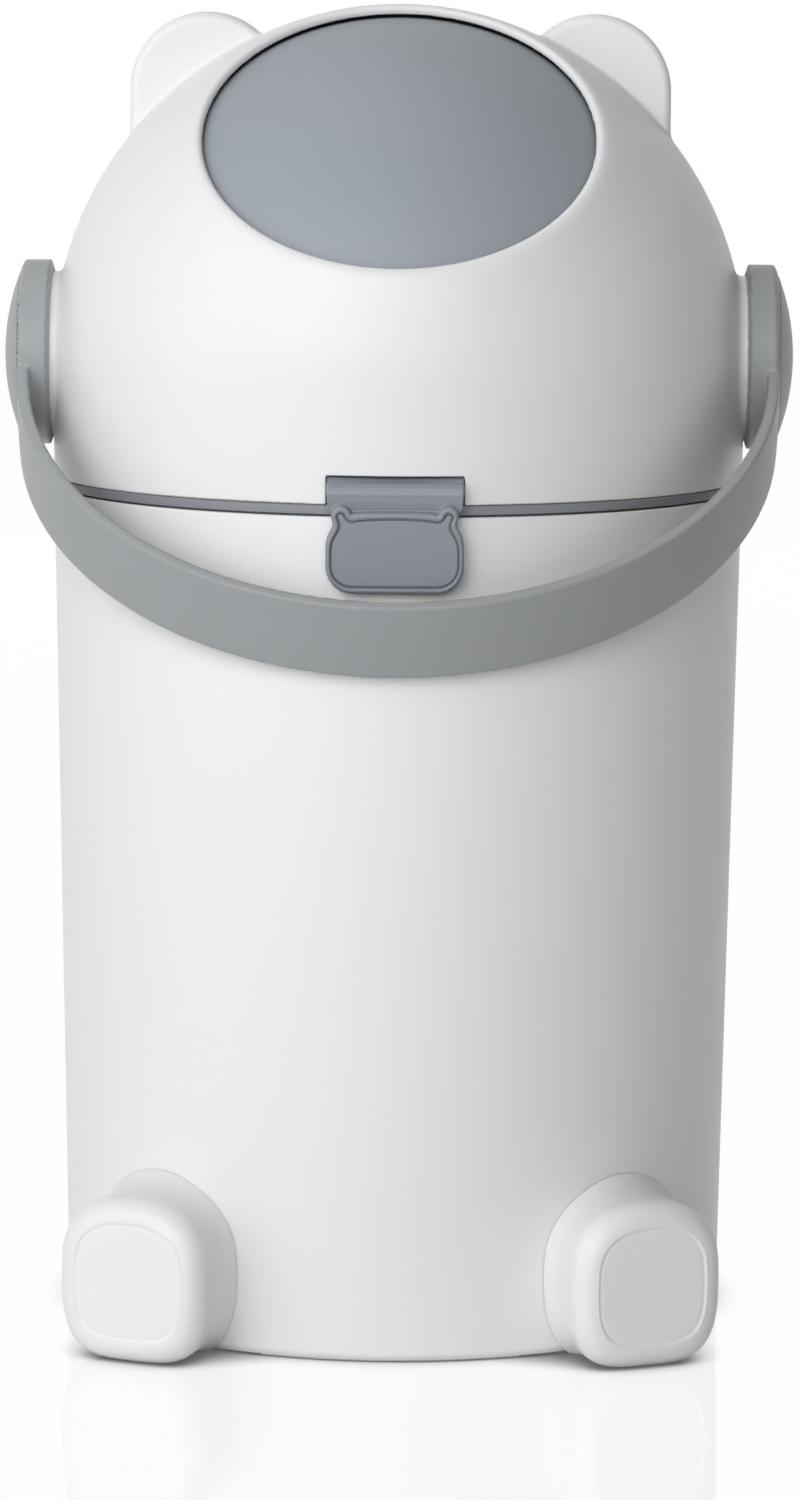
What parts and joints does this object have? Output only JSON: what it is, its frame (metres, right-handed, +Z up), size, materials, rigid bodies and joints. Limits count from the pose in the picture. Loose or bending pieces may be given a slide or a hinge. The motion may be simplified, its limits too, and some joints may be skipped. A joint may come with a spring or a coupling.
{
  "type": "nappy bin",
  "caption": "Nappy bin: tapered bucket on two paws, hinged dome lid with ears, front latch, and a flip handle that turns a ball-shaped drum behind the lid's round opening.",
  "frame": {"origin": "on the bucket's axis, on the flat underside that stands on the floor", "axes": "+Z up, -Y towards the front with the latch and paws, +X to the right as seen from the front"},
  "size_m": [0.3332, 0.3288, 0.5486],
  "materials": {
    "white_shell": "satin moulded",
    "grey_trim": "satin moulded",
    "drum_grey": "fine matt",
    "latch_grey": "satin moulded",
    "dark_rubber": "matt",
    "steel": "zinc plated",
    "nylon": "moulded",
    "dark_nylon": "moulded"
  },
  "bodies": {
    "bin": {"body_shell": "white_shell", "base_cover": "white_shell", "base_screws": "steel", "left_paw": "white_shell", "right_paw": "white_shell", "paw_screws": "steel", "hinge_pin": "steel"},
    "ring": {"bag_ring": "grey_trim"},
    "lid": {"head_shell": "white_shell", "opening_seal": "dark_rubber", "seal_carrier": "white_shell", "drum_seal": "dark_rubber", "carrier_screws": "steel", "left_bush": "nylon", "right_bush": "nylon", "latch_pin": "steel"},
    "drum": {"drum_cap": "drum_grey", "drum_cup": "drum_grey", "drum_screws": "steel", "left_trunnion": "dark_nylon", "right_trunnion": "dark_nylon", "hub_washers": "steel", "hub_screws": "steel", "handle": "grey_trim", "left_hub_cap": "grey_trim", "right_hub_cap": "grey_trim"},
    "latch": {"latch_tab": "latch_grey"}
  },
  "joints": [
    {"name": "ring_lift", "type": "hinge", "parent": "bin", "child": "ring", "pos_m": [0, 0.153, 0.34915], "axis": [-1, 0, 0], "range_deg": [0, 25]},
    {"name": "lid_hinge", "type": "hinge", "parent": "ring", "child": "lid", "pos_m": [0, 0.153, 0.34915], "axis": [-1, 0, 0], "range_deg": [0, 65]},
    {"name": "handle_flip", "type": "hinge", "parent": "lid", "child": "drum", "pos_m": [0, 0, 0.402], "axis": [-1, 0, 0], "range_deg": [0, 150]},
    {"name": "latch_release", "type": "hinge", "parent": "lid", "child": "latch", "pos_m": [0, -0.1398, 0.357], "axis": [-1, 0, 0], "range_deg": [0, 25]}
  ]
}
